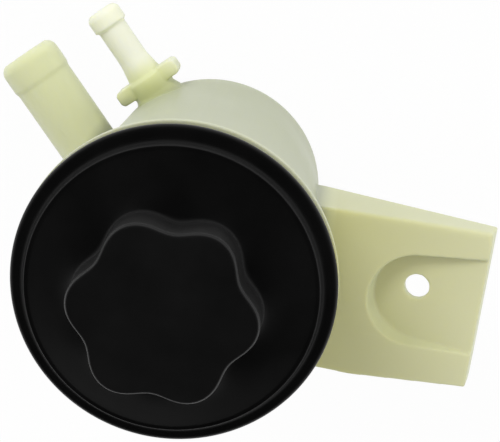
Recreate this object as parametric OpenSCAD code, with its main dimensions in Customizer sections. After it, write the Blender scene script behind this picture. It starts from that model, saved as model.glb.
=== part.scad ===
/* [Tank] */
// Outside radius of the tank at its flat base
base_r = 40.5; // [38.5:0.5:41.5]
// Outside radius of the tank under its collar
neck_r = 44; // [43.5:0.5:46]
// Height of the tank from its base to the top of its collar
tank_h = 127.5; // [120:0.5:135]
// Thickness of the moulded walls
wall = 2.6; // [2:0.1:3.2]
// Outside radius of the collar that the cap closes on
collar_r = 49.7; // [48:0.1:52]
// Thickness of the collar
collar_t = 3.4; // [2.5:0.1:5]
// Radius of the rounding between the side and the base
base_fillet = 5; // [3:0.5:7]

/* [Suction nipple] */
// Outside radius of the large hose nipple
suction_r = 10.7; // [9:0.1:11.2]
// Bore radius of the large hose nipple
suction_bore_r = 7.8; // [6:0.1:8.2]
// Reach of the large nipple's mouth from the tank's axis plane
suction_reach = 80.5; // [70:0.5:95]
// Height of the large nipple's axis over the base
suction_z = 25; // [22:0.5:26]
// Sideways offset of the large nipple's axis from the tank's axis
suction_offset = 25.5; // [20:0.5:27]
// How far the large nipple's end bead stands out
suction_bead = 0.5; // [0.4:0.1:2]

/* [Return nipple] */
// Outside radius of the small hose nipple
return_r = 5.4; // [4.8:0.1:6]
// Bore radius of the small hose nipple
return_bore_r = 3.5; // [2.5:0.1:4]
// Reach of the small nipple's mouth from the tank's axis plane
return_reach = 78; // [70:0.5:90]
// Height of the small nipple's axis over the base
return_z = 15; // [13:0.5:17]
// Sideways offset of the small nipple's axis from the tank's axis
return_offset = 4.5; // [0:0.5:5]
// Half the span of the two stop lugs beside the small nipple
stop_r = 12.6; // [10:0.1:13]
// Reach of the lugs' outer faces from the tank's axis plane
stop_reach = 49.5; // [48:0.5:54]
// Angle of both nipples from the bracket, seen from above
nipple_angle = 132; // [110:1:160]

/* [Bracket] */
// Height of the bracket's flat top over the base
bracket_z = 70; // [60:0.5:80]
// Distance of the bracket's end from the tank's axis
bracket_x = 100; // [90:0.5:120]
// Edge of the bracket on the nipples' side
bracket_y_high = 15.2; // [12:0.1:20]
// Edge of the bracket's end on the other side, measured away from the axis
bracket_y_low = 40.6; // [36:0.1:42]
// Edge of the bracket on that side where it leaves the tank
bracket_y_root = 41.7; // [38:0.1:42.5]
// How much wider the bracket gets between the tank and its end
bracket_swell = 0.8; // [0:0.1:1.5]
// Rounding of the bracket's far corner
bracket_corner = 3; // [1:0.5:6]
// Depth of the bracket's side walls where they meet the tank
bracket_deep = 30; // [20:0.5:36]
// Depth of the bracket's side walls at its end
bracket_shallow = 10; // [8:0.5:14]
// Distance of the bolt hole from the tank's axis
bolt_x = 78; // [72:0.5:82]
// Sideways place of the bolt hole, measured away from the axis
bolt_y = 9; // [4:0.5:14]
// Radius of the bolt hole
bolt_r = 4.35; // [3:0.05:5.5]
// Radius of the sunk pad's floor round the bolt hole
pad_r = 13.5; // [12:0.5:16]
// Slope of the sunk pad's wall, as a share of its height
pad_draft = 0.45; // [0.1:0.05:0.6]
// Tilt of the sunk pad, which runs out at the bracket's end
pad_tilt = 12; // [8:0.5:14]
// Thickness of the sunk pad
pad_t = 3.6; // [3:0.1:5]

/* [Cap] */
// How far the cap's flange stays inside the edge of the collar
rim_step = 0.2; // [0:0.1:1]
// Radius of the raised ridge round the cap's crown
ridge_r = 44; // [42:0.1:45]
// Height of the ridge over the underside of the cap's flange
ridge_h = 8.2; // [7:0.1:10]
// Thickness of the cap's flange at its rounded edge
flange_t = 4.4; // [3:0.1:5.5]
// Thickness of the cap's crown
crown_t = 3; // [2.4:0.1:4]
// Height of the knob's flat top over the ridge
knob_h = 22.8; // [20:0.1:28]
// Radius over the tips of the knob's six lobes
knob_tip_r = 28.2; // [27:0.1:30]
// Radius at the bottom of the hollows between the lobes
knob_hollow_r = 24.3; // [23.5:0.1:25]
// Radius of each lobe's rounded tip
lobe_r = 11; // [10.6:0.1:11.2]
// Number of lobes on the knob
lobes = 6; // [5:1:7]
// Radius of the hollow inside the knob
knob_cavity_r = 19.5; // [17:0.5:20]
// Length of the plug below the cap's flange
plug_h = 17; // [15:0.5:20]

/* [Thread] */
// Rise of the thread in one turn
lead = 6; // [5:0.5:8]
// Thickness of the neck's wall, under the thread
neck_wall = 3; // [2.6:0.1:3.4]
// Radial overlap of the two threads
thread_grip = 1.1; // [0.6:0.1:1.2]
// Clearance between a thread's crest and the wall it faces
thread_gap = 0.4; // [0.3:0.1:0.6]
// Turns of thread on each piece
thread_turns = 1.25; // [1:0.25:1.5]

/* [Filter] */
// Outside radius of the pleated paper
media_r = 32; // [28:0.5:33]
// Height of the pleated paper, as a share of the tank's height
media_share = 0.345; // [0.29:0.005:0.37]
// Number of pleats
pleats = 36; // [24:2:48]
// Outside radius of the perforated core
core_r = 13; // [12.5:0.1:14]
// Thickness of the pressed steel plates
plate_t = 1.4; // [1:0.1:2]
// Height of the shoulder that the filter's seal lies on, as a share of the tank's height
seat_share = 0.267; // [0.26:0.001:0.28]
// Radius of the shoulder
seat_r = 14; // [13:0.5:15]
// Radius of the spigot that enters the filter
spigot_r = 10.4; // [9.5:0.1:10.6]
// Bore radius of the spigot
spigot_bore_r = 6.6; // [6.5:0.1:7.5]

/* [Springs] */
// Mean radius of the hold-down spring
spring_r = 15.8; // [15:0.1:17]
// Wire diameter of the hold-down spring
spring_wire = 2.4; // [1.8:0.1:2.8]
// Mean radius of the bypass spring
bypass_spring_r = 6; // [5:0.1:7]
// Wire diameter of the bypass spring
bypass_wire = 0.9; // [0.7:0.1:1.1]

/* [Hidden] */
$fn = 96;

// Gap between pieces that rest on each other
seat_gap = 0.3;
// Small overlap that joins two shapes of one moulding
fuse = 0.4;
// How far a cut runs past the face it opens
past = 1;
// Looseness of the paper and its sleeve between the two end plates
slack = 0.01;

natural = [0.84, 0.84, 0.68];
black = [0.09, 0.09, 0.09];
rubber = [0.13, 0.13, 0.14];
steel = [0.72, 0.73, 0.75];
zinc = [0.78, 0.76, 0.66];
paper = [0.86, 0.78, 0.58];
felt = [0.62, 0.62, 0.6];
marked = [0.16, 0.16, 0.17];

// Tank: the floor, the flare under the neck, and the ends of the nipples
floor_t = wall;
neck_deep = 12;
flare_h = 2;
collar_edge = 1;
nipple_root = 8;
bead_l = 12;
bead_rise = 1.6;
nose_r = 4;
hub_r = 8;
hub_foot = 1.4;
hub_root = 20;
stop_t = 5.8;
stop_h = 10;
stop_edge = 1.2;
barb = 1.1;
barb_l = 7.2;
tip_r = 2.8;
spigot_h = 9;
boss_start = 6;
suction_start = 14;

// Bracket: the drop of the pad's edge, the depth that its tapered hollow is cut to
end_drop = 0.4;
pad_cut = 20;
bracket_swell_x = bracket_x * 0.6;
bracket_lean = bracket_shallow * tan(pad_tilt);

inner_base_r = base_r - wall;
seat_z = tank_h * seat_share;
media_h = tank_h * media_share;
collar_z = tank_h - collar_t;
seal_t = 2;
cap_r = collar_r - rim_step;
cap_z = tank_h + seat_gap + seal_t;
ridge_z = cap_z + ridge_h;
knob_z = ridge_z + knob_h;

// Thread sizes: the crests overlap by the grip, and each clears the wall it faces
neck_bore_r = neck_r - neck_wall;
plug_crest_r = neck_bore_r - thread_gap;
neck_crest_r = plug_crest_r - thread_grip;
plug_r = neck_crest_r - thread_gap;
thread_root_w = 2.4;
thread_crest_w = 1.3;
neck_thread_z = tank_h - 12.5;
plug_thread_z = neck_thread_z + lead / 2;

// Filter stack, from the seal upwards
seal_h = 3;
bottom_plate_z = seat_z + seal_h + 2 * seat_gap;
media_z = bottom_plate_z + plate_t;
top_plate_z = media_z + media_h;
plate_r = media_r + 1.6;
valve_z = top_plate_z + plate_t;
cage_h = 8;
cage_r = 12;
hold_z = valve_z;

plate_lip = 4;
lip_t = 0.8;
flow_r = 7.4;
hold_flange_h = 3;
hold_r = plate_r - 8;
cage_t = 1;
cage_window = 16;
disc_t = 1.2;
disc_r = cage_r - cage_t - 1.4;
guide_r = 4;
sleeve_t = 0.5;
sleeve_slot = 6;
sleeve_rim = 7;
core_t = 0.8;
core_hole_r = 2;
core_rows = 4;
core_around = 10;
fold_t = 0.9;

// Cap: the crown's curve from the ridge inwards, as steps in and up, and the vent hole in the knob's side
crown_curve = [[0.8, -0.1], [3, 0.4], [8, 2.2], [13, 4.9]];
ridge_foot = 1.2;
knob_foot_z = ridge_z + 7.2;
dome_z = ridge_z + 8;
knob_edge = 1.6;
knob_steps = 5;
plug_edge = 0.8;
vent_r = 0.8;
vent_angle = 270;

// Pieces under the crown
tube_t = 3;
vent_plate_t = 2.4;
vent_plate_r = knob_cavity_r + tube_t;
vent_plate_z = cap_z - 7;
vent_rim_h = 3;
plate_hub_r = 7.4;
plate_hub_h = 5.8;
vent_holes = 6;
vent_hole_r = 0.6;
vent_ring_r = 2.6;
slip = 0.2;
blade_w = 8;
blade_t = 2.2;
blade_tip = 3;
low_notch = 5;
high_notch = 14;
notch_r = 1;
head_r = 5.6;
head_h = 2.2;
valve_x = 12.8;
valve_stem_r = 1.3;
valve_cap_r = 4;
pad_h = 6;
washer_t = 1.4;
washer_r = spring_r + 1.25 * spring_wire;
land_h = 3.2;
land_t = 2.4;
washer_z = vent_plate_z - land_h - seat_gap - washer_t;
spring_z = hold_z + plate_t + seat_gap;
spring_h = washer_z - seat_gap - spring_z;

// Outside radius of the tank's wall at a height
function side_r(z) = base_r + (neck_r - base_r) * z / collar_z;

// A tube of wire wound upwards, with closed flat-lying end turns
function wire_point(r, rise, turns, a) =
    let (f = a / (360 * turns), e = 0.75 / turns,
         g = f < e ? 0.12 * f / e : f > 1 - e ? 1 - 0.12 * (1 - f) / e : 0.12 + 0.76 * (f - e) / (1 - 2 * e))
    [r * cos(a), r * sin(a), rise * g];

module coil(r, wire, rise, turns) {
    steps = ceil(turns * 20);
    sides = 8;
    points = [for (i = [0 : steps]) let (a = 360 * turns * i / steps, p = wire_point(r, rise, turns, a))
        for (j = [0 : sides - 1]) let (b = 360 * j / sides)
            [p[0] + wire / 2 * cos(b) * cos(a), p[1] + wire / 2 * cos(b) * sin(a), p[2] + wire / 2 * sin(b)]];
    skin = [for (i = [0 : steps - 1]) for (j = [0 : sides - 1]) let (k = (j + 1) % sides)
        [i * sides + j, i * sides + k, (i + 1) * sides + k, (i + 1) * sides + j]];
    first = [[for (j = [sides - 1 : -1 : 0]) j]];
    last = [[for (j = [0 : sides - 1]) steps * sides + j]];
    polyhedron(points, concat(skin, first, last), convexity = 10);
}

// A screw ridge round the Z axis, from a root radius to a crest radius, tapering out at both ends
module screw_ridge(root_r, crest_r, turns) {
    steps = ceil(turns * 32);
    points = [for (i = [0 : steps]) let (a = 360 * turns * i / steps, z = lead * a / 360,
            grow = min(1, 0.15 + 6 * min(i, steps - i) / steps), c = root_r + (crest_r - root_r) * grow)
        for (p = [[root_r, -thread_root_w / 2], [c, -thread_crest_w / 2],
                  [c, thread_crest_w / 2], [root_r, thread_root_w / 2]])
            [p[0] * cos(a), p[0] * sin(a), z + p[1]]];
    turned = crest_r > root_r;
    skin = [for (i = [0 : steps - 1]) for (j = [0 : 3]) let (k = (j + 1) % 4, q = [i * 4 + j, i * 4 + k,
            (i + 1) * 4 + k, (i + 1) * 4 + j]) turned ? q : [q[3], q[2], q[1], q[0]]];
    first = [turned ? [3, 2, 1, 0] : [0, 1, 2, 3]];
    last = [[for (j = [0 : 3]) steps * 4 + (turned ? j : 3 - j)]];
    polyhedron(points, concat(skin, first, last), convexity = 10);
}

// Puts a shape along a nipple: its Z axis runs outwards from the tank's axis plane
module along_nipple(z, offset) {
    rotate([0, 0, nipple_angle])
        translate([0, offset, z])
            rotate([0, 90, 0])
                children();
}

module tank_outside() {
    rotate_extrude()
        union() {
            polygon([[0, 0], [base_r - base_fillet, 0], [side_r(base_fillet), base_fillet],
                     [neck_r, collar_z], [collar_r - collar_edge, collar_z],
                     [collar_r, collar_z + collar_edge], [collar_r, tank_h], [0, tank_h]]);
            intersection() {
                translate([base_r - base_fillet, base_fillet])
                    circle(r = base_fillet);
                square([base_r, base_fillet]);
            }
        }
}

module tank_inside() {
    inner_fillet = base_fillet - wall;
    flare_z = collar_z - neck_deep - flare_h;
    rotate_extrude()
        polygon([[0, floor_t], [inner_base_r - inner_fillet, floor_t],
                 [side_r(base_fillet) - wall, base_fillet + wall / 2],
                 [side_r(flare_z) - wall, flare_z], [neck_bore_r, flare_z + flare_h],
                 [neck_bore_r, tank_h + past], [0, tank_h + past]]);
}

module suction_outside() {
    bead_r = suction_r + suction_bead;
    along_nipple(suction_z, suction_offset)
        rotate_extrude() {
            polygon([[0, nipple_root], [suction_r, nipple_root], [suction_r, suction_reach - bead_l],
                     [bead_r, suction_reach - bead_l + bead_rise], [bead_r, suction_reach - nose_r],
                     [bead_r - nose_r, suction_reach], [0, suction_reach]]);
            translate([bead_r - nose_r, suction_reach - nose_r])
                circle(r = nose_r);
        }
}

// Hub of the small nipple and the two lugs beside it that stop the hose
module stop_outside() {
    stop_foot = stop_reach - stop_t;
    along_nipple(return_z, -return_offset) {
        rotate_extrude()
            polygon([[0, hub_root], [hub_r + hub_foot, hub_root],
                     [hub_r + hub_foot, side_r(return_z) - hub_foot],
                     [hub_r, side_r(return_z) + hub_foot], [hub_r, stop_reach - stop_edge],
                     [hub_r - stop_edge, stop_reach], [0, stop_reach]]);
        translate([-stop_h / 2, 0, 0])
            rotate([90, 0, 90])
                linear_extrude(stop_h)
                    polygon([[-stop_r + stop_edge, stop_foot], [stop_r - stop_edge, stop_foot],
                             [stop_r, stop_foot + stop_edge], [stop_r, stop_reach - stop_edge],
                             [stop_r - stop_edge, stop_reach], [-stop_r + stop_edge, stop_reach],
                             [-stop_r, stop_reach - stop_edge], [-stop_r, stop_foot + stop_edge]]);
    }
}

module return_outside() {
    barb_r = return_r + barb;
    stop_outside();
    along_nipple(return_z, -return_offset)
        rotate_extrude() {
            polygon([[0, hub_root], [return_r, hub_root], [hub_r - hub_foot, stop_reach - fuse],
                     [return_r + barb / 2, stop_reach + barb_l / 2], [return_r, stop_reach + barb_l],
                     [return_r, return_reach - barb_l], [barb_r, return_reach - barb_l + fuse],
                     [barb_r, return_reach - tip_r], [barb_r - tip_r, return_reach], [0, return_reach]]);
            translate([barb_r - tip_r, return_reach - tip_r])
                circle(r = tip_r);
        }
}

// Side view of the bracket: flat on top, its underside rising to the end; inset gives its hollow
module bracket_side(inset) {
    open = inset > 0 ? past : 0;
    polygon([[0, bracket_z - inset], [bracket_x - inset, bracket_z - inset],
             [bracket_x + bracket_lean - inset, bracket_z - bracket_shallow - open],
             [neck_r - wall, bracket_z - bracket_deep - open], [0, bracket_z - bracket_deep - open]]);
}

// The bracket seen from above, with its far corner rounded
module bracket_plan(inset) {
    end_x = bracket_x + bracket_lean;
    corner = bracket_corner;
    y_end = bracket_y_low - inset;
    polygon([[0, bracket_y_high - inset], [end_x, bracket_y_high - inset], [end_x, -y_end + corner],
             [end_x - corner, -y_end], [bracket_swell_x, -bracket_y_root - bracket_swell + inset],
             [neck_r, -bracket_y_root + inset], [0, -bracket_y_root + inset]]);
    translate([end_x - corner, -y_end + corner])
        circle(r = corner);
}

module bracket_block(inset) {
    width = bracket_y_root + bracket_y_high + 2 * past;
    intersection() {
        translate([0, width - bracket_y_root - past, 0])
            rotate([90, 0, 0])
                linear_extrude(width)
                    bracket_side(inset);
        translate([0, 0, bracket_z - bracket_deep - 2 * past])
            linear_extrude(bracket_deep + 3 * past)
                bracket_plan(inset);
    }
}

// Puts a shape on the bolt's axis, with Z leaving through the pad's top
module on_pad() {
    translate([bracket_x, 0, bracket_z - end_drop])
        rotate([0, -pad_tilt, 0])
            translate([-(bracket_x - bolt_x) / cos(pad_tilt), -bolt_y, 0])
                children();
}

// Tapered hollow round the bolt, open towards the bracket's end
module pad_hollow(r) {
    top_r = r + pad_cut * pad_draft;
    cylinder(r1 = r, r2 = top_r, h = pad_cut);
    rotate([90, 0, 90])
        linear_extrude(bracket_x)
            polygon([[-r, 0], [r, 0], [top_r, pad_cut], [-top_r, pad_cut]]);
}

module pad_sink() {
    on_pad()
        pad_hollow(pad_r);
}

module pad_wall() {
    intersection() {
        on_pad()
            translate([0, 0, -pad_t])
                pad_hollow(pad_r + wall);
        bracket_block(0);
    }
}

// The bracket is hollow from below, and two webs stiffen it under the sunk pad
module bracket() {
    difference() {
        union() {
            difference() {
                bracket_block(0);
                bracket_block(wall);
            }
            pad_wall();
            for (y = [-bolt_y - pad_r, -bolt_y + pad_r - wall])
                translate([0, y, 0])
                    rotate([90, 0, 0])
                        mirror([0, 0, 1])
                            linear_extrude(wall)
                                bracket_side(0);
        }
        pad_sink();
        on_pad()
            translate([0, 0, -pad_t - pad_cut])
                cylinder(r = pad_r - wall, h = pad_cut);
        on_pad()
            translate([0, 0, -pad_t - past])
                cylinder(r = bolt_r, h = pad_t + 2 * past);
    }
}

// The tank is one moulding: cup, collar, nipples, bracket, and the spigot that the filter sits on
module tank() {
    color(natural)
    difference() {
        union() {
            difference() {
                union() {
                    tank_outside();
                    suction_outside();
                    return_outside();
                    bracket();
                }
                tank_inside();
            }
            translate([0, 0, floor_t - fuse])
                cylinder(r = seat_r, h = seat_z - floor_t + fuse);
            cylinder(r = spigot_r, h = seat_z + spigot_h);
            along_nipple(return_z, -return_offset)
                translate([0, 0, boss_start])
                    cylinder(r = return_r, h = side_r(return_z) - wall / 2 - boss_start);
            translate([0, 0, neck_thread_z])
                screw_ridge(neck_bore_r + fuse, neck_crest_r, thread_turns);
        }
        along_nipple(return_z, -return_offset)
            cylinder(r = return_bore_r, h = return_reach + past);
        translate([0, 0, return_z - return_bore_r])
            cylinder(r = spigot_bore_r, h = tank_h);
        along_nipple(suction_z, suction_offset)
            translate([0, 0, suction_start])
                cylinder(r = suction_bore_r, h = suction_reach);
    }
}

// Outline of the knob, moved inwards by inset: lobes and hollows are arcs that meet smoothly
module knob_outline(inset) {
    step = 180 / lobes;
    lobe_c = knob_tip_r - lobe_r;
    hollow_arc = (lobe_c * lobe_c + knob_hollow_r * knob_hollow_r
                  - 2 * lobe_c * knob_hollow_r * cos(step) - lobe_r * lobe_r)
                 / (2 * lobe_r - 2 * knob_hollow_r + 2 * lobe_c * cos(step));
    hollow_c = knob_hollow_r + hollow_arc;
    share = lobe_r / (lobe_r + hollow_arc);
    meet = [for (i = [0 : 2 * lobes - 1]) let (side = i % 2 == 0 ? 1 : -1, a = 2 * step * ((i + i % 2) / 2),
            l = [lobe_c * cos(a), lobe_c * sin(a)],
            h = [hollow_c * cos(a + side * step), hollow_c * sin(a + side * step)])
        l + share * (h - l)];
    difference() {
        union() {
            polygon(meet);
            for (i = [0 : lobes - 1])
                rotate(2 * step * i)
                    translate([lobe_c, 0])
                        circle(r = lobe_r - inset);
        }
        for (i = [0 : lobes - 1])
            rotate(2 * step * (i + 0.5))
                translate([hollow_c, 0])
                    circle(r = hollow_arc + inset);
    }
}

// The knob's wall with a rounded top edge, in thin steps
module knob() {
    edge_z = knob_z - knob_edge;
    translate([0, 0, knob_foot_z - knob_edge])
        linear_extrude(edge_z - knob_foot_z + knob_edge)
            knob_outline(0);
    for (i = [0 : knob_steps - 1])
        translate([0, 0, edge_z])
            linear_extrude(knob_edge * sin(90 * (i + 1) / knob_steps))
                knob_outline(knob_edge * (1 - cos(90 * i / knob_steps)));
}

module cap_shell() {
    edge = flange_t / 2;
    foot_r = knob_hollow_r - 1;
    bore_r = plug_r - wall;
    plug_z = cap_z - plug_h;
    flange_z = cap_z + flange_t;
    rotate_extrude()
        difference() {
            union() {
                polygon(concat(
                    [[bore_r, plug_z], [plug_r - plug_edge, plug_z], [plug_r, plug_z + plug_edge],
                     [plug_r, cap_z], [cap_r - edge, cap_z], [cap_r - edge, flange_z],
                     [ridge_r + ridge_foot, flange_z + fuse],
                     [ridge_r + ridge_foot / 2, ridge_z - ridge_foot / 2], [ridge_r, ridge_z]],
                    [for (step = crown_curve) [ridge_r - step[0], ridge_z + step[1]]],
                    [[foot_r + 4, knob_foot_z], [foot_r + 2, dome_z + 1.5],
                     [foot_r, dome_z + 4], [0, dome_z + 4], [0, ridge_z], [bore_r, ridge_z - crown_t]]));
                translate([cap_r - edge, cap_z + edge])
                    circle(r = edge);
            }
            polygon([[0, 0], [bore_r, 0], [bore_r, ridge_z - crown_t], [bore_r - 5, ridge_z - crown_t + 1.6],
                     [vent_plate_r, dome_z - crown_t], [0, dome_z - crown_t]]);
        }
}

// The cap is one moulding: crown, lobed knob, threaded plug and the tube that holds the vent plate
module cap() {
    tube_z = vent_plate_z + vent_plate_t;
    color(black)
    difference() {
        union() {
            cap_shell();
            knob();
            translate([0, 0, tube_z])
                cylinder(r = vent_plate_r, h = dome_z - past - tube_z);
            translate([0, 0, plug_thread_z])
                screw_ridge(plug_r - fuse, plug_crest_r, thread_turns);
        }
        translate([0, 0, tube_z - past])
            cylinder(r = knob_cavity_r, h = knob_z - crown_t - tube_z + past);
        rotate([0, 0, vent_angle])
            translate([knob_cavity_r - past, 0, knob_z - crown_t - pad_h / 2])
                rotate([0, 90, 0])
                    cylinder(r = vent_r, h = knob_tip_r - knob_cavity_r + 2 * past);
    }
}

module cap_seal() {
    color(rubber)
    translate([0, 0, tank_h + seat_gap])
        difference() {
            cylinder(r = cap_r - 2.4, h = seal_t);
            translate([0, 0, -past])
                cylinder(r = neck_bore_r + 0.6, h = seal_t + 2 * past);
        }
}

// Round plate that closes the knob's hollow, with a hub for the washer and the dipstick
module vent_plate() {
    color(marked)
    translate([0, 0, vent_plate_z])
        difference() {
            union() {
                cylinder(r = vent_plate_r, h = vent_plate_t);
                translate([0, 0, vent_plate_t - fuse])
                    difference() {
                        cylinder(r = knob_cavity_r - slip, h = vent_rim_h + fuse);
                        translate([0, 0, -past])
                            cylinder(r = knob_cavity_r - slip - wall / 2, h = vent_rim_h + fuse + 2 * past);
                    }
                translate([0, 0, -plate_hub_h])
                    cylinder(r = plate_hub_r, h = plate_hub_h + fuse);
                translate([0, 0, -land_h])
                    ring(washer_r, washer_r - land_t, land_h + fuse);
            }
            translate([-blade_w / 2 - slip, -blade_t / 2 - slip, -plate_hub_h - past])
                cube([blade_w + 2 * slip, blade_t + 2 * slip, plate_hub_h + vent_plate_t + 2 * past]);
            translate([valve_x, 0, -past])
                cylinder(r = valve_stem_r + slip, h = vent_plate_t + 2 * past);
            for (i = [1 : vent_holes])
                translate([valve_x, 0, -past])
                    rotate([0, 0, 360 * i / vent_holes])
                        translate([vent_ring_r, 0, 0])
                            cylinder(r = vent_hole_r, h = vent_plate_t + 2 * past);
        }
}

// Rubber umbrella valve over the plate's six vent holes
module vent_valve() {
    color(rubber)
    translate([valve_x, 0, vent_plate_z + vent_plate_t])
        union() {
            rotate_extrude()
                polygon([[0, 0], [valve_cap_r, 0], [valve_cap_r, valve_stem_r / 2], [0, valve_stem_r]]);
            translate([0, 0, -vent_plate_t - valve_stem_r])
                cylinder(r = valve_stem_r, h = vent_plate_t + 2 * valve_stem_r - fuse);
            translate([0, 0, -vent_plate_t - 2 * valve_stem_r])
                cylinder(r1 = valve_stem_r / 2, r2 = valve_stem_r * 1.5, h = 2 * valve_stem_r - seat_gap);
        }
}

// Felt pad that keeps dust out of the vent, high in the knob's hollow
module breather_pad() {
    color(felt)
    translate([0, 0, knob_z - crown_t - seat_gap - pad_h])
        cylinder(r = knob_cavity_r - seat_gap, h = pad_h);
}

// Flat blade with a head that lies on the vent plate and two level notches
module dipstick() {
    top = vent_plate_z + vent_plate_t;
    tip = valve_z + cage_h + blade_tip;
    color(marked)
    union() {
        translate([0, 0, top])
            cylinder(r = head_r, h = head_h);
        difference() {
            translate([-blade_w / 2, -blade_t / 2, tip])
                cube([blade_w, blade_t, top - tip + fuse]);
            for (z = [tip + low_notch, tip + high_notch])
                for (x = [-blade_w / 2, blade_w / 2])
                    translate([x, 0, z])
                        rotate([90, 0, 0])
                            cylinder(r = notch_r, h = blade_t + 2 * past, center = true);
            for (x = [-1, 1])
                translate([x * blade_w / 2, 0, tip])
                    rotate([0, x * 30, 0])
                        cube([blade_tip, blade_t + 2 * past, 2 * blade_tip], center = true);
        }
    }
}

module ring(outer, inner, h) {
    difference() {
        cylinder(r = outer, h = h);
        translate([0, 0, -past])
            cylinder(r = inner, h = h + 2 * past);
    }
}

module spring_washer() {
    color(zinc)
    translate([0, 0, washer_z])
        ring(washer_r, plate_hub_r + seat_gap, washer_t);
}

module filter_spring() {
    color(steel)
    translate([0, 0, spring_z + spring_wire / 2])
        coil(spring_r, spring_wire, spring_h - spring_wire, 5.5);
}

// Pressed plate that spreads the spring's load on the filter
module hold_down_plate() {
    color(zinc)
    translate([0, 0, hold_z])
        difference() {
            union() {
                cylinder(r = hold_r, h = plate_t);
                ring(hold_r, hold_r - plate_t, plate_t + hold_flange_h);
            }
            translate([0, 0, -past])
                cylinder(r = cage_r + seat_gap, h = plate_t + 2 * past);
        }
}

// Three-legged cage over the bypass valve
module bypass_cage() {
    color(zinc)
    translate([0, 0, valve_z])
        difference() {
            cylinder(r = cage_r, h = cage_h);
            translate([0, 0, -past])
                cylinder(r = cage_r - cage_t, h = cage_h - cage_t + past);
            translate([0, 0, -past])
                cylinder(r = bypass_spring_r / 2, h = cage_h + 2 * past);
            for (a = [0 : 120 : 240])
                rotate([0, 0, a])
                    translate([0, -cage_window / 2, 1.6 * cage_t])
                        cube([cage_r + past, cage_window, cage_h - 3.4 * cage_t]);
        }
}

module bypass_spring() {
    color(steel)
    translate([0, 0, valve_z + seat_gap + disc_t + seat_gap + bypass_wire / 2])
        coil(bypass_spring_r, bypass_wire, cage_h - cage_t - disc_t - 3 * seat_gap - bypass_wire, 3.5);
}

// Valve disc over the top plate's hole, with a short guide underneath
module bypass_disc() {
    color(marked)
    translate([0, 0, valve_z + seat_gap])
        union() {
            cylinder(r = disc_r, h = disc_t);
            translate([0, 0, -guide_r / 2])
                cylinder(r = guide_r, h = guide_r / 2 + disc_t + guide_r / 4);
        }
}

module filter_top_plate() {
    color(steel)
    translate([0, 0, top_plate_z])
        difference() {
            union() {
                cylinder(r = plate_r, h = plate_t);
                translate([0, 0, -plate_lip])
                    ring(plate_r, plate_r - lip_t, plate_lip + fuse);
            }
            translate([0, 0, -past])
                cylinder(r = flow_r, h = plate_t + 2 * past);
        }
}

module filter_bottom_plate() {
    color(steel)
    translate([0, 0, bottom_plate_z])
        difference() {
            union() {
                cylinder(r = plate_r, h = plate_t);
                translate([0, 0, plate_t - fuse])
                    ring(plate_r, plate_r - lip_t, plate_lip + fuse);
            }
            translate([0, 0, -past])
                cylinder(r = spigot_r + seat_gap + slip, h = plate_t + 2 * past);
        }
}

// Perforated tube inside the paper
module filter_core() {
    color(steel)
    translate([0, 0, media_z])
        difference() {
            cylinder(r = core_r, h = media_h);
            translate([0, 0, -past])
                cylinder(r = core_r - core_t, h = media_h + 2 * past);
            for (row = [0 : core_rows - 1])
                for (i = [0 : core_around - 1])
                    rotate([0, 0, 360 * (i + row % 2 / 2) / core_around])
                        translate([core_r - 2 * core_t, 0, media_h * (row + 0.5) / core_rows])
                            rotate([0, 90, 0])
                                cylinder(r = core_hole_r, h = 3 * core_t, $fn = 24);
        }
}

// Outline with a fold at the outer radius and one at the inner radius, for each pleat
module pleat_star(outer, inner) {
    polygon([for (i = [0 : 2 * pleats - 1]) let (a = 180 * i / pleats, r = i % 2 == 0 ? outer : inner)
        [r * cos(a), r * sin(a)]]);
}

// Paper folded into pleats, closed into a ring
module filter_media() {
    inner = core_r + seat_gap;
    color(paper)
    translate([0, 0, media_z + slack])
        linear_extrude(media_h - 2 * slack)
            difference() {
                pleat_star(media_r, inner + 2 * fold_t);
                pleat_star(media_r - 5.2 * fold_t, inner);
            }
}

// Slotted card sleeve round the paper
module filter_sleeve() {
    color(paper)
    translate([0, 0, media_z + slack])
        difference() {
            cylinder(r = media_r + slip + sleeve_t, h = media_h - 2 * slack);
            translate([0, 0, -past])
                cylinder(r = media_r + slip, h = media_h + 2 * past);
            for (a = [0 : 30 : 150])
                rotate([0, 0, a])
                    translate([-media_r * 2, -sleeve_slot / 2, sleeve_rim])
                        cube([media_r * 4, sleeve_slot, media_h - 2 * sleeve_rim]);
        }
}

module filter_seal() {
    color(rubber)
    translate([0, 0, seat_z + seat_gap])
        ring(seat_r, spigot_r + slip, seal_h);
}

tank();
cap();
cap_seal();
vent_plate();
vent_valve();
breather_pad();
dipstick();
spring_washer();
filter_spring();
hold_down_plate();
bypass_cage();
bypass_spring();
bypass_disc();
filter_top_plate();
filter_core();
filter_media();
filter_sleeve();
filter_bottom_plate();
filter_seal();
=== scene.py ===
import math

import bmesh
import bpy
import numpy as np
from mathutils import Matrix, Vector


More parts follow.
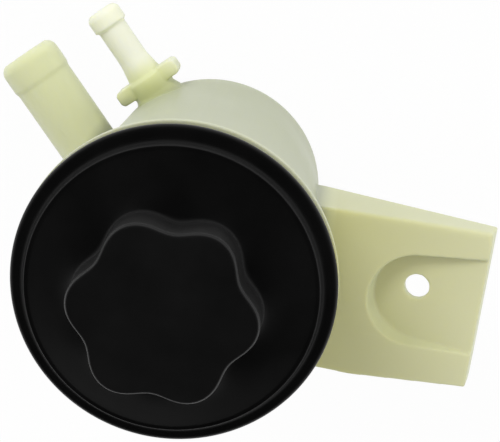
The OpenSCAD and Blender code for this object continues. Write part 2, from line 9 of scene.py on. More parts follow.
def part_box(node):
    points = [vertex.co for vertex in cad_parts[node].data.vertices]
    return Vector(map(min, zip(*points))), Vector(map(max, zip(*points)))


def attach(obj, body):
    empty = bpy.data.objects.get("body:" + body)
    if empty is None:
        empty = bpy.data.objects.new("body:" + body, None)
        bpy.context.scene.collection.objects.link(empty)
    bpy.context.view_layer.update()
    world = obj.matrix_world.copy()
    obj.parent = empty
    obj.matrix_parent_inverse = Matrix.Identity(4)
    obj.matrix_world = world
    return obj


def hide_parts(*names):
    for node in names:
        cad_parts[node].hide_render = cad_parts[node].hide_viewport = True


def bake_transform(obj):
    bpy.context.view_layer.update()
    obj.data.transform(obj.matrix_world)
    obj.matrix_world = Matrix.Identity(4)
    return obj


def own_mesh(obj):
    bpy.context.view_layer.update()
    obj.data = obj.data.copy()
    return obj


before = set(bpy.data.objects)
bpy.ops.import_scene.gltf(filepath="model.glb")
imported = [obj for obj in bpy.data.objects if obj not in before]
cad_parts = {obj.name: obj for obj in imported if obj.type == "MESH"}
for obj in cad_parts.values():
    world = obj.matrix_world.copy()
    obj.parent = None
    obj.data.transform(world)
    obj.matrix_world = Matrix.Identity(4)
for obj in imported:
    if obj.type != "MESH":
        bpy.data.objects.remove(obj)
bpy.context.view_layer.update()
MM = 0.001

# Camera: a long lens almost straight above the cap, at the height of a person at a bench.
# The view is rolled so that the bracket points to the right and the hose nipples point up.
camera_place = Vector((31.4, 143.1, 558.4)) * MM
camera_azimuth = math.radians(174.67)
camera_elevation = math.radians(74.26)
camera_roll = math.radians(-165.84)
back = Vector((math.sin(camera_azimuth) * math.cos(camera_elevation),
               -math.cos(camera_azimuth) * math.cos(camera_elevation),
               math.sin(camera_elevation)))
level = Vector((0, 0, 1)).cross(back).normalized()
right = level * math.cos(camera_roll) + back.cross(level) * math.sin(camera_roll)
lens_data = bpy.data.cameras.new("studio_camera")
lens_data.lens = 108
lens_data.sensor_width = 36
lens_data.shift_x = -0.002
lens_data.shift_y = 0.0015
camera = bpy.data.objects.new("studio_camera", lens_data)
bpy.context.scene.collection.objects.link(camera)
camera.matrix_world = Matrix.Translation(camera_place) @ Matrix((right, back.cross(right), back)).transposed().to_4x4()
bpy.context.scene.camera = camera
bpy.context.scene.view_settings.view_transform = "Standard"

# Light: one large soft box from the upper left of the picture, a weaker one from the right,
# and an even pale sky, at a level where a colour renders about as it is written.
up = back.cross(right)


def soft_box(name, offset, size, power, glossy=True):
    lamp = bpy.data.lights.new(name, "AREA")
    lamp.size = size
    lamp.energy = power
    box = bpy.data.objects.new(name, lamp)
    bpy.context.scene.collection.objects.link(box)
    aim = Vector((0.02, 0.0, 0.07))
    box.location = aim + right * offset[0] + up * offset[1] + back * offset[2]
    box.rotation_mode = "QUATERNION"
    box.rotation_quaternion = (aim - box.location).to_track_quat("-Z", "Y")
    box.visible_glossy = glossy


soft_box("key_box", (-0.8, 1.1, 1.5), 0.8, 18.0, glossy=False)
soft_box("fill_box", (0.9, -0.1, 0.6), 0.6, 3.0, glossy=False)
sky = bpy.data.worlds.new("pale_sky")
sky.use_nodes = True
nodes, links = sky.node_tree.nodes, sky.node_tree.links
pale = nodes["Background"]
pale.inputs["Strength"].default_value = 0.62
dark = nodes.new("ShaderNodeBackground")
toward, height, band = nodes.new("ShaderNodeTexCoord"), nodes.new("ShaderNodeSeparateXYZ"), nodes.new("ShaderNodeValToRGB")
links.new(toward.outputs["Generated"], height.inputs[0])
links.new(height.outputs["Z"], band.inputs["Fac"])
band.color_ramp.elements[0].position, band.color_ramp.elements[0].color = 0.04, (0.8, 0.8, 0.8, 1)
band.color_ramp.elements[1].position, band.color_ramp.elements[1].color = 0.34, (0.02, 0.02, 0.02, 1)
links.new(band.outputs["Color"], dark.inputs["Color"])
dark.inputs["Strength"].default_value = 0.7
kind, choice = nodes.new("ShaderNodeLightPath"), nodes.new("ShaderNodeMixShader")
links.new(kind.outputs["Is Glossy Ray"], choice.inputs["Fac"])
links.new(pale.outputs[0], choice.inputs[1])
links.new(dark.outputs[0], choice.inputs[2])
links.new(choice.outputs[0], nodes["World Output"].inputs["Surface"])
pale.inputs["Color"].default_value = (1, 1, 1, 1)
bpy.context.scene.world = sky

# Floor: a pale sheet that the tank stands on, which turns white in front of the camera
# and in reflections, and still shows a little of the tank's soft shadow.
sheet_mesh = bpy.data.meshes.new("floor")
reach = 2.5
sheet_mesh.from_pydata([(-reach, -reach, 0), (reach, -reach, 0), (reach, reach, 0), (-reach, reach, 0)], [], [(0, 1, 2, 3)])
floor = bpy.data.objects.new("floor", sheet_mesh)
bpy.context.scene.collection.objects.link(floor)
floor.location.z = -0.0004
floor_finish = bpy.data.materials.new("pale_floor")
floor_finish.use_nodes = True
nodes, links = floor_finish.node_tree.nodes, floor_finish.node_tree.links
paint = nodes["Principled BSDF"]
paint.inputs["Base Color"].default_value = (0.86, 0.86, 0.86, 1)
paint.inputs["Roughness"].default_value = 0.9
glow = nodes.new("ShaderNodeEmission")
glow.inputs["Color"].default_value = (1, 1, 1, 1)
seen = nodes.new("ShaderNodeLightPath")
either = nodes.new("ShaderNodeMath")
either.operation = "MAXIMUM"
links.new(seen.outputs["Is Camera Ray"], either.inputs[0])
links.new(seen.outputs["Is Glossy Ray"], either.inputs[1])
share = nodes.new("ShaderNodeMath")
share.operation = "MULTIPLY"
share.inputs[1].default_value = 0.96
links.new(either.outputs[0], share.inputs[0])
blend = nodes.new("ShaderNodeMixShader")
links.new(share.outputs[0], blend.inputs["Fac"])
links.new(paint.outputs[0], blend.inputs[1])
links.new(glow.outputs[0], blend.inputs[2])
links.new(blend.outputs[0], nodes["Material Output"].inputs["Surface"])
sheet_mesh.materials.append(floor_finish)


# Tank: one moulding in natural polyamide, with the collar, both nipples and the bracket.
# Its edges and inside corners are rounded as a mould leaves them. The wall is thin and pale,
# and the thick parts, which are the nipples and the bracket, look yellower.
def shader(name, roughness, **sockets):
    finish = bpy.data.materials.new(name)
    finish.use_nodes = True
    body = finish.node_tree.nodes["Principled BSDF"]
    body.inputs["Roughness"].default_value = roughness
    for socket, value in sockets.items():
        body.inputs[socket.replace("_", " ")].default_value = value
    return finish, finish.node_tree.nodes, finish.node_tree.links, body


def noise(nodes, links, place, scale, detail=3.0):
    texture = nodes.new("ShaderNodeTexNoise")
    texture.inputs["Scale"].default_value = scale
    texture.inputs["Detail"].default_value = detail
    links.new(place.outputs["Object"], texture.inputs["Vector"])
    return texture


def ramp(nodes, links, source, stops):
    band = nodes.new("ShaderNodeValToRGB")
    band.color_ramp.elements[0].position, band.color_ramp.elements[0].color = stops[0][0], (*stops[0][1], 1)
    band.color_ramp.elements[1].position, band.color_ramp.elements[1].color = stops[-1][0], (*stops[-1][1], 1)
    for position, colour in stops[1:-1]:
        band.color_ramp.elements.new(position).color = (*colour, 1)
    links.new(source, band.inputs["Fac"])
    return band


def bump(nodes, links, body, source, strength, distance):
    relief = nodes.new("ShaderNodeBump")
    relief.inputs["Strength"].default_value = strength
    relief.inputs["Distance"].default_value = distance
    links.new(source, relief.inputs["Height"])
    links.new(relief.outputs["Normal"], body.inputs["Normal"])


nipple_angle = math.radians(132)


def math_node(nodes, links, operation, first, second=0.0):
    step = nodes.new("ShaderNodeMath")
    step.operation = operation
    for socket, value in ((step.inputs[0], first), (step.inputs[1], second)):
        if isinstance(value, (int, float)):
            socket.default_value = value
        else:
            links.new(value, socket)
    return step.outputs[0]


def mix_colour(nodes, links, share, first, second):
    mixed = nodes.new("ShaderNodeMix")
    mixed.data_type = "RGBA"
    links.new(share, mixed.inputs["Factor"])
    for socket, value in (("A", first), ("B", second)):
        if isinstance(value, tuple):
            mixed.inputs[socket].default_value = (*value, 1)
        else:
            links.new(value, mixed.inputs[socket])
    return mixed.outputs["Result"]


def step_up(nodes, links, source, start, end):
    rise = nodes.new("ShaderNodeMapRange")
    rise.interpolation_type = "SMOOTHSTEP"
    links.new(source, rise.inputs["Value"])
    rise.inputs["From Min"].default_value = start
    rise.inputs["From Max"].default_value = end
    return rise.outputs[0]


def natural_nylon():
    wall_colour = (0.332, 0.346, 0.226)
    thick_colour = (0.745, 0.765, 0.470)
    small_colour = (0.940, 0.950, 0.760)
    hub_colour = (0.70, 0.74, 0.30)
    plus_x_colour = (0.565, 0.555, 0.275)
    grazing_sheen_colour = (0.66, 0.71, 0.52)
    finish, nodes, links, body = shader("natural_nylon", 0.42, Subsurface_Weight=0.35, Subsurface_Scale=0.004)
    body.inputs["Subsurface Radius"].default_value = (1.0, 0.95, 0.5)
    place = nodes.new("ShaderNodeTexCoord")
    parts = nodes.new("ShaderNodeSeparateXYZ")
    links.new(place.outputs["Object"], parts.inputs[0])
    square_x = math_node(nodes, links, "MULTIPLY", parts.outputs["X"], parts.outputs["X"])
    square_y = math_node(nodes, links, "MULTIPLY", parts.outputs["Y"], parts.outputs["Y"])
    radius = math_node(nodes, links, "SQRT", math_node(nodes, links, "ADD", square_x, square_y))
    cloud = noise(nodes, links, place, 28.0)
    drift = math_node(nodes, links, "MULTIPLY", cloud.outputs["Fac"], 0.006)
    far = math_node(nodes, links, "ADD", radius, drift)
    below_neck = math_node(nodes, links, "SUBTRACT", 1.0, step_up(nodes, links, parts.outputs["Z"], 0.090, 0.110))
    thick = math_node(nodes, links, "MULTIPLY", step_up(nodes, links, far, 0.045, 0.052), below_neck)
    pale = mix_colour(nodes, links, thick, wall_colour, thick_colour)

    # The small nipple has the thinnest wall, so it is the palest; it lies at one side of this line
    small_side = nodes.new("ShaderNodeVectorMath")
    small_side.operation = "DOT_PRODUCT"
    links.new(place.outputs["Object"], small_side.inputs[0])
    small_side.inputs[1].default_value = (math.sin(nipple_angle), -math.cos(nipple_angle), 0)
    beside = step_up(nodes, links, small_side.outputs["Value"], -0.009, -0.005)
    outside = step_up(nodes, links, radius, 0.046, 0.056)
    pale = mix_colour(nodes, links, math_node(nodes, links, "MULTIPLY", beside, outside), pale, small_colour)
    to_hub = nodes.new("ShaderNodeVectorMath")
    to_hub.operation = "DISTANCE"
    links.new(place.outputs["Object"], to_hub.inputs[0])
    to_hub.inputs[1].default_value = (-0.0261, 0.0357, 0.016)
    near_hub = math_node(nodes, links, "SUBTRACT", 1.0, step_up(nodes, links, to_hub.outputs["Value"], 0.004, 0.014))
    pale = mix_colour(nodes, links, math_node(nodes, links, "MULTIPLY", near_hub, 0.7), pale, hub_colour)

    # Darker, yellower colour from x = 40 mm outward, towards the bracket.
    out_x = math_node(nodes, links, "MULTIPLY", parts.outputs["X"], 10.0)
    plus_x_share = ramp(nodes, links, out_x, [(0.40, (0, 0, 0)), (0.47, (1, 1, 1)), (0.64, (0.9, 0.9, 0.9)), (0.99, (0.7, 0.7, 0.7))])
    tint = mix_colour(nodes, links, plus_x_share.outputs["Color"], pale, plus_x_colour)
    # Painted sheen: surfaces seen at a grazing angle are mixed toward a paler, greener colour, which stands in for
    # light at the tank's edges.
    facing = nodes.new("ShaderNodeLayerWeight")
    facing.inputs["Blend"].default_value = 0.35
    thin = mix_colour(nodes, links, math_node(nodes, links, "MULTIPLY", facing.outputs["Facing"], 0.55), tint, grazing_sheen_colour)
    links.new(thin, body.inputs["Base Color"])
    grain = noise(nodes, links, place, 900.0, 2.0)
    rough = ramp(nodes, links, cloud.outputs["Fac"], [(0.3, (0.36,) * 3), (0.7, (0.5,) * 3)])
    links.new(rough.outputs["Color"], body.inputs["Roughness"])
    bump(nodes, links, body, grain.outputs["Fac"], 0.12, 0.0002)
    return finish


def keep_piece(piece, node, body):
    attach(piece, body)
    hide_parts(node)


def apply_modifiers(piece):
    mesh = bpy.data.meshes.new_from_object(piece.evaluated_get(bpy.context.evaluated_depsgraph_get()))
    piece.modifiers.clear()
    piece.data = mesh


def merged_copy(node, name):
    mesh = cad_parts[node].data.copy()
    shape = bmesh.new()
    shape.from_mesh(mesh)
    bmesh.ops.remove_doubles(shape, verts=shape.verts, dist=1e-6)
    shape.to_mesh(mesh)
    shape.free()
    piece = bpy.data.objects.new(name, mesh)
    bpy.context.scene.collection.objects.link(piece)
    return piece


def prism(name, top_ring, low_ring):
    shape = bmesh.new()
    rings = [[shape.verts.new((x * MM, y * MM, z * MM)) for x, y, z in ring] for ring in (top_ring, low_ring)]
    for i in range(len(top_ring)):
        shape.faces.new((rings[0][i - 1], rings[0][i], rings[1][i], rings[1][i - 1]))
    shape.faces.new(rings[0])
    shape.faces.new(rings[1][::-1])
    bmesh.ops.recalc_face_normals(shape, faces=shape.faces)
    mesh = bpy.data.meshes.new(name)
    shape.to_mesh(mesh)
    shape.free()
    piece = bpy.data.objects.new(name, mesh)
    bpy.context.scene.collection.objects.link(piece)
    return piece


def round_bar(name, place, radius, length):
    shape = bmesh.new()
    bmesh.ops.create_cone(shape, cap_ends=True, segments=48, radius1=radius, radius2=radius, depth=length, matrix=place)
    mesh = bpy.data.meshes.new(name)
    shape.to_mesh(mesh)
    shape.free()
    piece = bpy.data.objects.new(name, mesh)
    bpy.context.scene.collection.objects.link(piece)
    return piece


def combine(piece, operation, other):
    step = piece.modifiers.new("combine", "BOOLEAN")
    step.operation, step.solver, step.object = operation, "EXACT", other
    apply_modifiers(piece)
    bpy.data.objects.remove(other)


bracket_top, bracket_end, pad_slope = 70.0, 100.0, math.tan(math.radians(12))


def pad_shape(name, grow, end, thickness):
    middle_x, middle_y, radius = 77.5, -13.0, 17.1 + grow
    outline = [(end, 6.1 + grow)]
    outline += [(middle_x + radius * math.cos(math.radians(a)), middle_y + radius * math.sin(math.radians(a))) for a in range(90, 271, 6)]
    outline += [(end, -28.6 - grow)]
    low = []
    for i, (x, y) in enumerate(outline):
        before, after = outline[max(i - 1, 0)], outline[min(i + 1, len(outline) - 1)]
        along = Vector((after[0] - before[0], after[1] - before[1])).normalized()
        inward = Vector((-along.y, along.x))
        draft = 0.42 + 0.19 * inward.y
        spot = Vector((x, y))
        for _ in range(8):
            depth = max(0.4 + (bracket_end - spot.x) * pad_slope, 0.2) + thickness
            spot = Vector((x, y)) + inward * draft * depth
        low.append((min(spot.x, end), spot.y, bracket_top - depth))
    lift = 0 if thickness else 4
    return prism(name, [(x, y, bracket_top + lift) for x, y in outline], low)


tank_voxel = 0.45 * MM
tank_triangles = 190000
tank_mould = merged_copy("tank", "tank_moulding")
tank_mould.data.materials.clear()
combine(tank_mould, "UNION", pad_shape("pad_walls", 2.8, bracket_end - 0.3, 3.6))
combine(tank_mould, "DIFFERENCE", pad_shape("pad_hollow", 0.0, bracket_end + 4, 0.0))
hole_mount = Matrix.Translation(Vector((78.374, -9.0, 63.163)) * MM) @ Matrix.Rotation(math.radians(-12), 4, "Y")
combine(tank_mould, "DIFFERENCE", round_bar("bolt_hole", hole_mount, 4.35 * MM, 20 * MM))
melt = tank_mould.modifiers.new("melt", "REMESH")
melt.mode = "VOXEL"
melt.voxel_size = tank_voxel
melt.use_smooth_shade = True
soften = tank_mould.modifiers.new("soften", "SMOOTH")
soften.factor = 0.5
soften.iterations = 2
apply_modifiers(tank_mould)
mesh = tank_mould.data
corners = np.empty(len(mesh.vertices) * 3)
mesh.vertices.foreach_get("co", corners)
corners = corners.reshape(-1, 3) / MM
edge_gap = np.hypot(corners[:, 1] - 15.2, corners[:, 2] - bracket_top)
soft_edge = np.clip((4.5 - edge_gap) / 2, 0, 1) * (corners[:, 0] > 46)
edge_group = tank_mould.vertex_groups.new(name="soft_edge")
for level in range(1, 11):
    chosen = np.flatnonzero(np.ceil(soft_edge * 10) == level)
    edge_group.add(chosen.tolist(), level / 10, "REPLACE")
round_edge = tank_mould.modifiers.new("round_edge", "SMOOTH")
round_edge.factor, round_edge.iterations, round_edge.vertex_group = 0.5, 60, "soft_edge"
apply_modifiers(tank_mould)
thin = tank_mould.modifiers.new("thin", "DECIMATE")
thin.ratio = min(1.0, tank_triangles / (2 * len(tank_mould.data.polygons)))
apply_modifiers(tank_mould)
tank_mould.vertex_groups.clear()
tank_mould.data.shade_smooth()
tank_mould.data.materials.append(natural_nylon())
keep_piece(tank_mould, "tank", "tank")


# Cap: a black moulding turned by its six-lobed knob. Its flange closes on the tank's collar,
# a ridge runs round the crown, and the crown swells up to the knob's rounded foot.
def black_nylon(name, base, roughness, wall=1.0, lit_top_height=1.0):
    finish, nodes, links, body = shader(name, roughness, Specular_IOR_Level=0.14)
    place = nodes.new("ShaderNodeTexCoord")
    # Painted light: over the 10 mm below the given height the base colour rises to 1.9 times, so the knob top is
    # painted lighter where light falls on it.
    high, lit_top_gain, painted_light_colour = nodes.new("ShaderNodeSeparateXYZ"), nodes.new("ShaderNodeMapRange"), nodes.new("ShaderNodeVectorMath")
    links.new(place.outputs["Object"], high.inputs[0])
    links.new(high.outputs["Z"], lit_top_gain.inputs["Value"])
    for socket, value in (("From Min", lit_top_height - 0.010), ("From Max", lit_top_height), ("To Min", 1.0), ("To Max", 1.9)):
        lit_top_gain.inputs[socket].default_value = value
    painted_light_colour.operation = "SCALE"
    cloud = noise(nodes, links, place, 60.0, 5.0)
    grain = noise(nodes, links, place, 2600.0, 2.0)
    colour = ramp(nodes, links, cloud.outputs["Fac"], [(0.3, tuple(base * 0.8 for _ in range(3))), (0.7, tuple(base * 1.2 for _ in range(3)))])
    # Painted light: faces that stand upright, the knob's side walls, have their base colour multiplied by the wall
    # factor, standing in for the side light falling on them.
    parts, upright, lit_wall_colour = nodes.new("ShaderNodeSeparateXYZ"), nodes.new("ShaderNodeMapRange"), nodes.new("ShaderNodeVectorMath")
    links.new(place.outputs["Normal"], parts.inputs[0])
    links.new(math_node(nodes, links, "ABSOLUTE", parts.outputs["Z"]), upright.inputs["Value"])
    for socket, value in (("From Min", 0.15), ("From Max", 0.5), ("To Min", wall), ("To Max", 1.0)):
        upright.inputs[socket].default_value = value
    lit_wall_colour.operation = "SCALE"
    links.new(colour.outputs["Color"], lit_wall_colour.inputs[0])
    links.new(upright.outputs[0], lit_wall_colour.inputs["Scale"])
    links.new(lit_wall_colour.outputs[0], painted_light_colour.inputs[0])
    links.new(lit_top_gain.outputs[0], painted_light_colour.inputs["Scale"])
    links.new(painted_light_colour.outputs[0], body.inputs["Base Color"])
    rough = ramp(nodes, links, cloud.outputs["Fac"], [(0.3, (roughness - 0.04,) * 3), (0.7, (roughness + 0.05,) * 3)])
    links.new(rough.outputs["Color"], body.inputs["Roughness"])
    bump(nodes, links, body, grain.outputs["Fac"], 0.10, 0.00008)
    return finish


def arc(centre_r, centre_z, radius, start, end, steps, lobing=0.0):
    turn = [math.radians(start + (end - start) * i / steps) for i in range(steps + 1)]
    return [(centre_r + radius * math.cos(a), centre_z + radius * math.sin(a), lobing) for a in turn]


def turned(name, profile, around):
    shape = bmesh.new()
    weight = shape.verts.layers.float.new("lobing")
    rings = []
    for r, z, lobing in profile:
        ring = []
        for i in range(around if r > 1e-6 else 1):
            a = 2 * math.pi * i / around
            corner = shape.verts.new((r * MM * math.cos(a), r * MM * math.sin(a), z * MM))
            corner[weight] = lobing
            ring.append(corner)
        rings.append(ring)
    for low, high in zip(rings, rings[1:]):
        for i in range(around):
            k = (i + 1) % around
            corners = [low[i % len(low)], low[k % len(low)], high[k % len(high)], high[i % len(high)]]
            corners = list(dict.fromkeys(corners))
            if len(corners) > 2:
                shape.faces.new(corners)
    bmesh.ops.recalc_face_normals(shape, faces=shape.faces)
    mesh = bpy.data.meshes.new(name)
    shape.to_mesh(mesh)
    shape.free()
    mesh.shade_smooth()
    piece = bpy.data.objects.new(name, mesh)
    bpy.context.scene.collection.objects.link(piece)
    return piece


def lobed_tree():
    tree = bpy.data.node_groups.new("lobed_knob", "GeometryNodeTree")
    tree.interface.new_socket("Geometry", in_out="INPUT", socket_type="NodeSocketGeometry")
    for label, kind in (("Lobes", "NodeSocketFloat"), ("Lobe Depth", "NodeSocketFloat"), ("Lobe Flatness", "NodeSocketFloat"), ("Finish", "NodeSocketMaterial")):
        tree.interface.new_socket(label, in_out="INPUT", socket_type=kind)
    tree.interface.new_socket("Geometry", in_out="OUTPUT", socket_type="NodeSocketGeometry")
    add, join = tree.nodes.new, tree.links.new
    given, result = add("NodeGroupInput"), add("NodeGroupOutput")
    place, parts, weight = add("GeometryNodeInputPosition"), add("ShaderNodeSeparateXYZ"), add("GeometryNodeInputNamedAttribute")
    join(place.outputs[0], parts.inputs[0])
    weight.inputs["Name"].default_value = "lobing"
    angle = math_node(tree.nodes, tree.links, "ARCTAN2", parts.outputs["Y"], parts.outputs["X"])
    phase = math_node(tree.nodes, tree.links, "MULTIPLY", angle, given.outputs["Lobes"])
    wave = math_node(tree.nodes, tree.links, "COSINE", phase)
    twice = math_node(tree.nodes, tree.links, "COSINE", math_node(tree.nodes, tree.links, "MULTIPLY", phase, 2.0))
    eased = math_node(tree.nodes, tree.links, "MULTIPLY", twice, given.outputs["Lobe Flatness"])
    depth = math_node(tree.nodes, tree.links, "SUBTRACT", math_node(tree.nodes, tree.links, "MULTIPLY", wave, given.outputs["Lobe Depth"]), eased)
    swing = math_node(tree.nodes, tree.links, "MULTIPLY", depth, weight.outputs["Attribute"])
    flat, outward, push = add("ShaderNodeCombineXYZ"), add("ShaderNodeVectorMath"), add("ShaderNodeVectorMath")
    join(parts.outputs["X"], flat.inputs["X"])
    join(parts.outputs["Y"], flat.inputs["Y"])
    outward.operation, push.operation = "NORMALIZE", "SCALE"
    join(flat.outputs[0], outward.inputs[0])
    join(outward.outputs[0], push.inputs[0])
    join(swing, push.inputs["Scale"])
    move, real, coat = add("GeometryNodeSetPosition"), add("GeometryNodeRealizeInstances"), add("GeometryNodeSetMaterial")
    join(given.outputs["Geometry"], move.inputs["Geometry"])
    join(push.outputs[0], move.inputs["Offset"])
    join(move.outputs[0], real.inputs[0])
    join(real.outputs[0], coat.inputs["Geometry"])
    join(given.outputs["Finish"], coat.inputs["Material"])
    join(coat.outputs[0], result.inputs[0])
    return tree


def run_tree(piece, tree, **values):
    growth = piece.modifiers.new("growth", "NODES")
    growth.node_group = tree
    for item in tree.interface.items_tree:
        if item.in_out == "INPUT" and item.name.replace(" ", "_") in values:
            growth[item.identifier] = values[item.name.replace(" ", "_")]
    apply_modifiers(piece)


def helix_tree():
    tree = bpy.data.node_groups.new("helix", "GeometryNodeTree")
    tree.interface.new_socket("Geometry", in_out="INPUT", socket_type="NodeSocketGeometry")
    for label, kind in (("Turns", "NodeSocketFloat"), ("Radius", "NodeSocketFloat"), ("Rise", "NodeSocketFloat"),
                        ("Section Radius", "NodeSocketFloat"), ("Section Sides", "NodeSocketInt"),
                        ("Start Height", "NodeSocketFloat"), ("Finish", "NodeSocketMaterial")):
        tree.interface.new_socket(label, in_out="INPUT", socket_type=kind)
    tree.interface.new_socket("Geometry", in_out="OUTPUT", socket_type="NodeSocketGeometry")
    add, join = tree.nodes.new, tree.links.new
    given, result = add("NodeGroupInput"), add("NodeGroupOutput")
    spiral, ring, tube = add("GeometryNodeCurveSpiral"), add("GeometryNodeCurvePrimitiveCircle"), add("GeometryNodeCurveToMesh")
    spiral.inputs["Resolution"].default_value = 48
    join(given.outputs["Turns"], spiral.inputs["Rotations"])
    join(given.outputs["Radius"], spiral.inputs["Start Radius"])
    join(given.outputs["Radius"], spiral.inputs["End Radius"])
    join(given.outputs["Rise"], spiral.inputs["Height"])
    spiral.inputs["Reverse"].default_value = True
    upright = add("GeometryNodeSetCurveNormal")
    upright.mode = "Z_UP"
    join(given.outputs["Section Sides"], ring.inputs["Resolution"])
    join(given.outputs["Section Radius"], ring.inputs["Radius"])
    join(spiral.outputs[0], upright.inputs[0])
    join(upright.outputs[0], tube.inputs["Curve"])
    join(ring.outputs[0], tube.inputs["Profile Curve"])
    tube.inputs["Fill Caps"].default_value = True
    lift, place = add("ShaderNodeCombineXYZ"), add("GeometryNodeTransform")
    join(given.outputs["Start Height"], lift.inputs["Z"])
    join(tube.outputs[0], place.inputs["Geometry"])
    join(lift.outputs[0], place.inputs["Translation"])
    smooth, real, coat = add("GeometryNodeSetShadeSmooth"), add("GeometryNodeRealizeInstances"), add("GeometryNodeSetMaterial")
    join(place.outputs[0], smooth.inputs["Geometry"])
    join(smooth.outputs[0], real.inputs[0])
    join(real.outputs[0], coat.inputs["Geometry"])
    join(given.outputs["Finish"], coat.inputs["Material"])
    join(coat.outputs[0], result.inputs[0])
    return tree


helix = helix_tree()


def grown(name, tree, **values):
    piece = bpy.data.objects.new(name, bpy.data.meshes.new(name))
    bpy.context.scene.collection.objects.link(piece)
    run_tree(piece, tree, **values)
    return piece


def join_pieces(piece, *others):
    shape = bmesh.new()
    for part in (piece, *others):
        shape.from_mesh(part.data)
    shape.to_mesh(piece.data)
    shape.free()
    for other in others:
        bpy.data.objects.remove(other)


cap_low, cap_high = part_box("cap")
top = cap_high.z / MM
ridge = top - 22.8
flange = ridge - 8.2
knob_r = 26.2
rim_r = cap_high.x / MM
plug_bottom = cap_low.z / MM
knob_top = [(0, top, 0), (6, top, 0), (12, top, 0.15), (18, top, 0.5), (22, top, 0.85), (knob_r - 1.7, top, 1)]
knob_top += arc(knob_r - 1.5, top - 1.3, 1.3, 90, 6, 7, 1.0)[1:]
knob_wall = [(knob_r + 0.02 * i, top - 1.4 - 1.4 * i, 1.0) for i in range(6)]
foot = arc(knob_r + 2.6, ridge + 10.6, 2.5, 180, 238, 6, 1.0)
foot = [(r, z, 1.0 - 0.35 * i / 6) for i, (r, z, _) in enumerate(foot)]
crown = [(29.0, ridge + 7.6, 0.4), (31.0, ridge + 6.5, 0.15), (33.5, ridge + 5.2, 0), (36, ridge + 3.9, 0), (38.5, ridge + 2.6, 0),
         (41, ridge + 1.3, 0), (42.6, ridge + 0.45, 0), (43.2, ridge + 0.15, 0)]
lip = arc(43.7, ridge - 0.45, 0.6, 90, 20, 4)
shoulder = [(44.6, ridge - 1.8, 0), (45.0, ridge - 2.7, 0), (45.6, ridge - 3.3, 0), (46.4, ridge - 3.7, 0)]
rim = arc(rim_r - 2.2, flange + 2.2, 2.2, 78, -80, 14)
under = [(46.0, flange, 0), (40.6, flange, 0), (39.3, flange - 0.2, 0), (39.1, flange - 0.6, 0), (39.1, plug_bottom + 0.8, 0),
         (38.3, plug_bottom, 0), (36.6, plug_bottom, 0), (36.5, plug_bottom + 0.3, 0), (36.5, ridge - 3, 0),
         (31.5, ridge - 1.4, 0), (22.6, ridge + 4.9, 0), (22.5, ridge + 4.8, 0), (22.5, flange - 4.6, 0), (19.5, flange - 4.6, 0),
         (19.5, top - 3, 0), (0, top - 3, 0)]
cap_piece = turned("cap_moulding", knob_top + knob_wall + foot + crown + lip + shoulder + rim + under, 288)
cap_black = black_nylon("black_nylon", 0.0030, 0.36, wall=4.4, lit_top_height=top * MM)
run_tree(cap_piece, lobed_tree(), Lobes=6.0, Lobe_Depth=1.95 * MM, Lobe_Flatness=0.12 * MM, Finish=cap_black)
vent_side = Matrix.Rotation(math.radians(-90), 4, "Z") @ Matrix.Translation((24 * MM, 0, (top - 6) * MM))
vent_hole = round_bar("vent_hole", vent_side @ Matrix.Rotation(math.radians(90), 4, "Y"), 0.8 * MM, 12 * MM)
combine(cap_piece, "DIFFERENCE", vent_hole)
thread_pitch = 6 * MM
join_pieces(cap_piece, grown("plug_thread", helix, Turns=1.25, Radius=39.1 * MM, Rise=1.25 * thread_pitch, Section_Radius=1.4 * MM,
                             Section_Sides=4, Start_Height=(top - 42.8) * MM, Finish=cap_black))
keep_piece(cap_piece, "cap", "cap")

# Seal, vent plate, valve, felt and dipstick: these carry on under the crown.
# The seal and the valve are rubber, the felt is pressed wool, and the others are black plastic.
def rubber():
    finish, nodes, links, body = shader("seal_rubber", 0.62, Specular_IOR_Level=0.35)
    place = nodes.new("ShaderNodeTexCoord")
    dust = noise(nodes, links, place, 300.0, 6.0)
    colour = ramp(nodes, links, dust.outputs["Fac"], [(0.35, (0.012,) * 3), (0.75, (0.03,) * 3)])
    links.new(colour.outputs["Color"], body.inputs["Base Color"])
    bump(nodes, links, body, dust.outputs["Fac"], 0.2, 0.0001)
    return finish


def pressed_felt():
    finish, nodes, links, body = shader("pressed_felt", 0.95, Sheen_Weight=0.4)
    place = nodes.new("ShaderNodeTexCoord")
    fibre = noise(nodes, links, place, 1500.0, 8.0)
    colour = ramp(nodes, links, fibre.outputs["Fac"], [(0.3, (0.22, 0.22, 0.2)), (0.7, (0.45, 0.45, 0.42))])
    links.new(colour.outputs["Color"], body.inputs["Base Color"])
    bump(nodes, links, body, fibre.outputs["Fac"], 0.7, 0.0005)
    return finish


def dress(node, finish):
    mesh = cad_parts[node].data
    mesh.materials.clear()
    mesh.materials.append(finish)


inner_black = black_nylon("inner_black_nylon", 0.012, 0.5)
seal_finish = rubber()
for node in ("vent_plate", "dipstick", "bypass_disc"):
    dress(node, inner_black)
for node in ("cap_seal", "vent_valve", "filter_seal"):
    dress(node, seal_finish)
dress("breather_pad", pressed_felt())
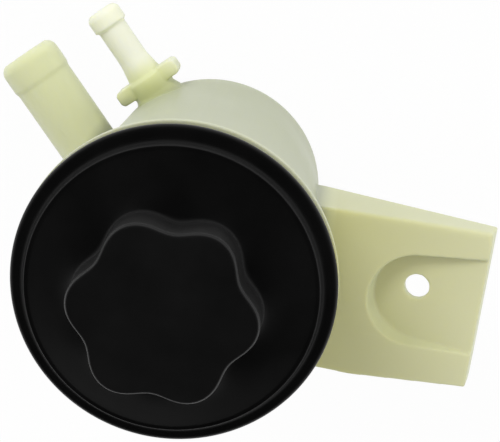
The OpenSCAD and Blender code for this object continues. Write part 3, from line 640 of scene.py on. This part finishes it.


# Springs: round steel wire, coiled. The large one holds the filter
# down; the small one closes the bypass valve.
def brushed(name, base, roughness, stretch):
    finish, nodes, links, body = shader(name, roughness, Metallic=1.0)
    place = nodes.new("ShaderNodeTexCoord")
    mapping = nodes.new("ShaderNodeMapping")
    mapping.inputs["Scale"].default_value = stretch
    links.new(place.outputs["Object"], mapping.inputs["Vector"])
    streak = nodes.new("ShaderNodeTexNoise")
    streak.inputs["Scale"].default_value = 400.0
    streak.inputs["Detail"].default_value = 6.0
    links.new(mapping.outputs[0], streak.inputs["Vector"])
    colour = ramp(nodes, links, streak.outputs["Fac"], [(0.3, tuple(c * 0.82 for c in base)), (0.7, base)])
    links.new(colour.outputs["Color"], body.inputs["Base Color"])
    rough = ramp(nodes, links, streak.outputs["Fac"], [(0.3, (roughness + 0.1,) * 3), (0.7, (roughness - 0.05,) * 3)])
    links.new(rough.outputs["Color"], body.inputs["Roughness"])
    bump(nodes, links, body, streak.outputs["Fac"], 0.08, 0.0001)
    return finish


wire_steel = brushed("wire_steel", (0.50, 0.51, 0.53), 0.32, (1, 1, 6))


def spring(name, node, wire, turns):
    low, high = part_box(node)
    piece = grown(name, helix, Turns=turns, Radius=(high.x - low.x) / 2 - wire / 2, Rise=high.z - low.z - wire,
             Section_Radius=wire / 2, Section_Sides=16, Start_Height=low.z + wire / 2, Finish=wire_steel)
    return piece, low.z, high.z


hold_spring, spring_low, spring_high = spring("hold_down_spring", "filter_spring", 2.4 * MM, 5.5)
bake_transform(hold_spring)
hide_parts("filter_spring")
valve_spring, valve_low, valve_high = spring("valve_spring", "bypass_spring", 0.9 * MM, 3.5)
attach(valve_spring, "tank")
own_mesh(valve_spring)
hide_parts("bypass_spring")

# Steel plates: pressed and zinc plated, from the spring's seats to the filter's two ends.
zinc = brushed("zinc_plate", (0.60, 0.58, 0.46), 0.38, (1, 1, 1))
tin = brushed("tin_plate", (0.56, 0.57, 0.58), 0.34, (3, 1, 1))
for node in ("spring_washer", "hold_down_plate", "bypass_cage"):
    dress(node, zinc)
for node in ("filter_top_plate", "filter_core", "filter_bottom_plate"):
    dress(node, tin)


# Filter paper and sleeve: resin-treated paper in pleats, inside a slotted card sleeve.
def paper(name, base, scale):
    finish, nodes, links, body = shader(name, 0.85, Specular_IOR_Level=0.3)
    place = nodes.new("ShaderNodeTexCoord")
    fibre = noise(nodes, links, place, scale, 8.0)
    colour = ramp(nodes, links, fibre.outputs["Fac"], [(0.3, tuple(c * 0.78 for c in base)), (0.7, base)])
    links.new(colour.outputs["Color"], body.inputs["Base Color"])
    bump(nodes, links, body, fibre.outputs["Fac"], 0.35, 0.0003)
    return finish


dress("filter_media", paper("pleated_paper", (0.62, 0.46, 0.22), 700.0))
dress("filter_sleeve", paper("sleeve_card", (0.55, 0.42, 0.24), 400.0))
